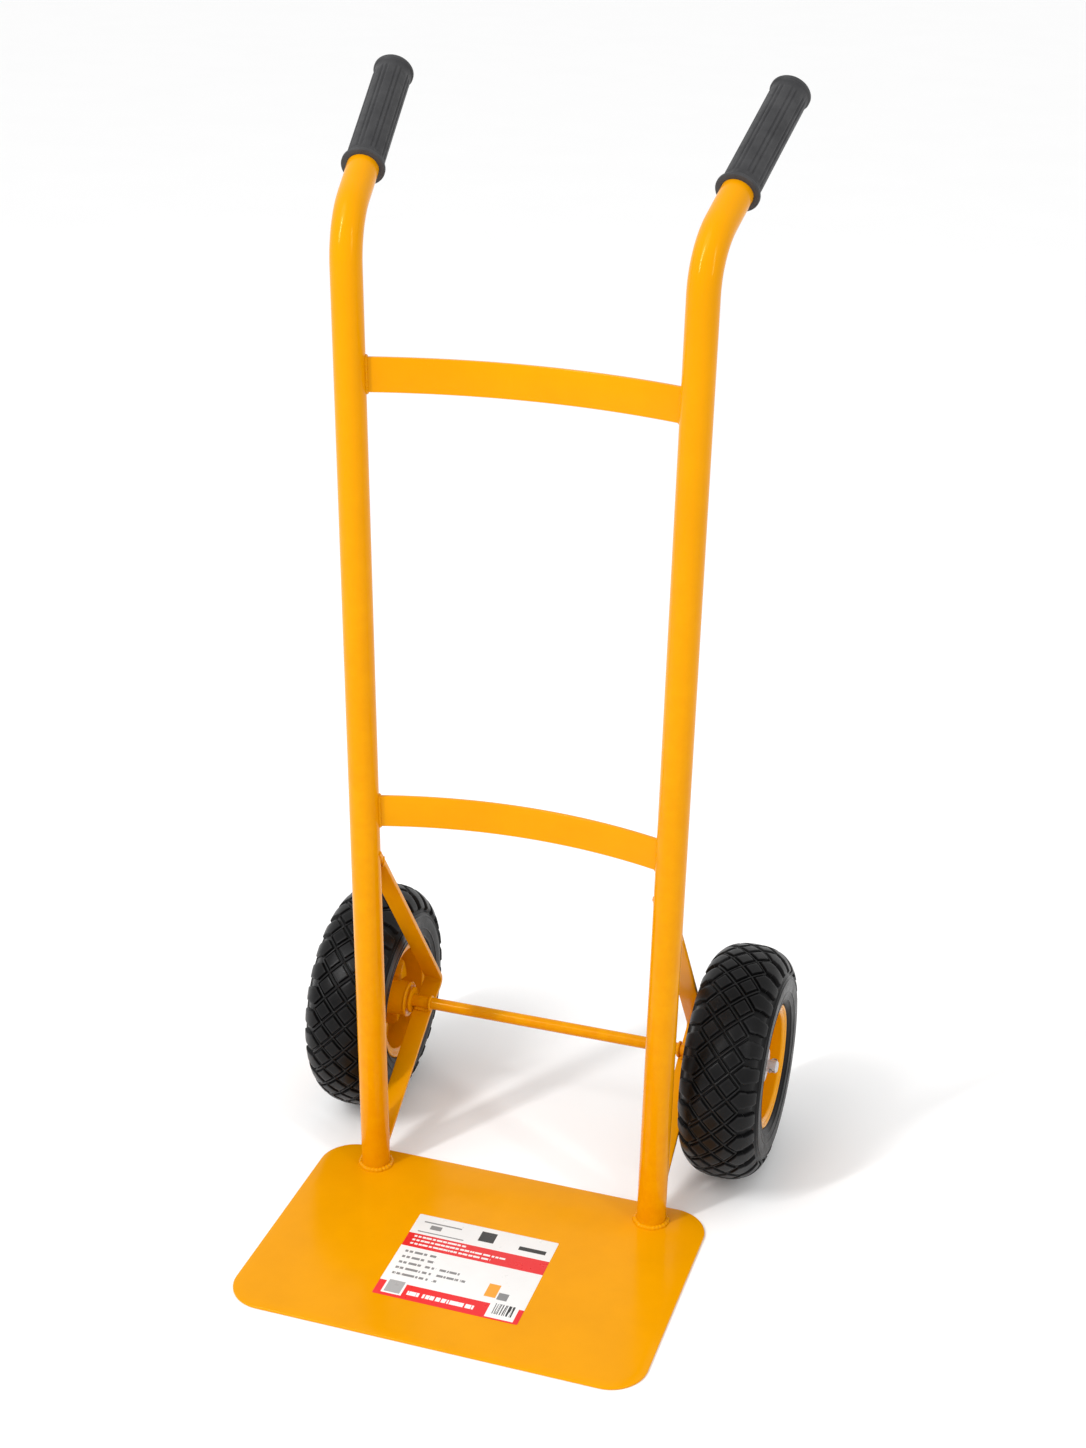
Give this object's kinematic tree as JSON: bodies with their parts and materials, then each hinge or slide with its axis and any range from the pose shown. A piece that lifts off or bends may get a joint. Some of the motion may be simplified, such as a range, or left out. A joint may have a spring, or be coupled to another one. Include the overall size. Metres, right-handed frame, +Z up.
{
  "type": "hand truck",
  "caption": "Upright hand truck: bent tube frame with bowed crossbars and rubber grips on a flat toe plate, strip brackets, and pneumatic wheels turning on a straight axle.",
  "frame": {"origin": "on the floor, at the centre of the footprint (bounding box bottom centre)", "axes": "+Z up along the frame, +Y from the toe plate towards the wheels, +X along the axle to the right wheel"},
  "size_m": [0.5312, 0.556, 1.1998],
  "materials": {
    "paint": "glossy yellow-orange powder coat",
    "grip": "satin moulded rubber",
    "tyre": "black moulded tyre rubber",
    "inner_tube": "smooth butyl rubber",
    "zinc": "bright zinc plate",
    "steel": "plain steel",
    "brass": "turned brass",
    "cap_plastic": "moulded plastic",
    "label": null
  },
  "bodies": {
    "frame": {"toe_plate": "paint", "toe_plate_label": "label", "left_stile": "paint", "right_stile": "paint", "left_grip": "grip", "right_grip": "grip", "upper_crossbar": "paint", "lower_crossbar": "paint", "left_axle_bracket": "paint", "right_axle_bracket": "paint", "axle": "paint", "left_inner_washer": "paint", "left_outer_washer": "zinc", "left_cotter_pin": "steel", "right_inner_washer": "paint", "right_outer_washer": "zinc", "right_cotter_pin": "steel"},
    "left_wheel": {"left_tyre": "tyre", "left_inner_tube": "inner_tube", "left_rim_outer_half": "paint", "left_rim_inner_half": "paint", "left_hub_tube": "paint", "left_outer_bearing": "steel", "left_inner_bearing": "paint", "left_valve_stem": "brass", "left_valve_cap": "cap_plastic"},
    "right_wheel": {"right_tyre": "tyre", "right_inner_tube": "inner_tube", "right_rim_outer_half": "paint", "right_rim_inner_half": "paint", "right_hub_tube": "paint", "right_outer_bearing": "steel", "right_inner_bearing": "paint", "right_valve_stem": "brass", "right_valve_cap": "cap_plastic"}
  },
  "joints": [
    {"name": "left_wheel_spin", "type": "hinge", "parent": "frame", "child": "left_wheel", "pos_m": [-0.22061, 0.146, 0.132], "axis": [1, 0, 0], "continuous": true},
    {"name": "right_wheel_spin", "type": "hinge", "parent": "frame", "child": "right_wheel", "pos_m": [0.22061, 0.146, 0.132], "axis": [1, 0, 0], "continuous": true}
  ]
}
